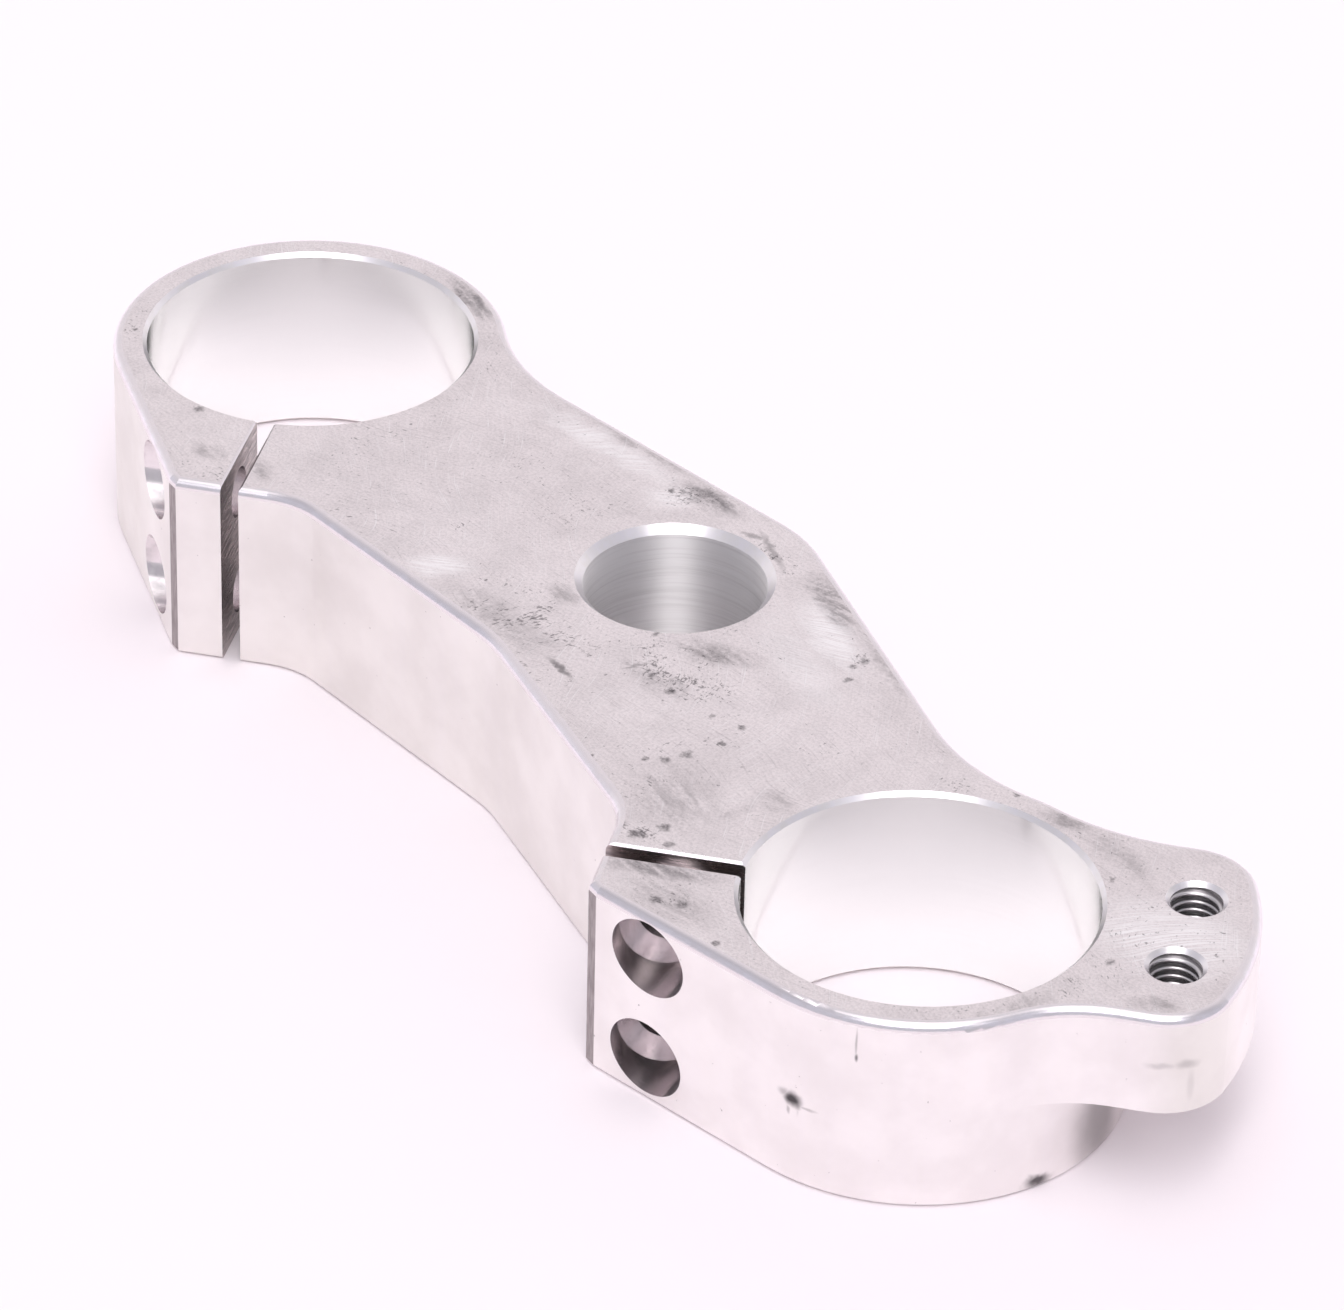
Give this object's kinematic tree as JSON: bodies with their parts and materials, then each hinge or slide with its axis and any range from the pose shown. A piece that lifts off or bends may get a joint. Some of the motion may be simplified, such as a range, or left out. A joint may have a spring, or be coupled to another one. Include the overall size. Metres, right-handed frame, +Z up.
{
  "type": "motorcycle triple clamp",
  "caption": "Machined aluminium motorcycle triple clamp: split fork clamps with counterbored pinch screw ears, a stem bore behind them and a drilled mounting lug at one end.",
  "frame": {"origin": "on the stem bore's axis at the bottom face", "axes": "+X towards the clamp with the mounting lug, -Y to the front where the clamps are split, +Z up along the bores"},
  "size_m": [0.2619, 0.0873, 0.033],
  "materials": {
    "machined_aluminium": "bare machined, fine tool marks, light oil smudges"
  },
  "bodies": {
    "root": {"triple_clamp": "machined_aluminium"}
  },
  "joints": []
}
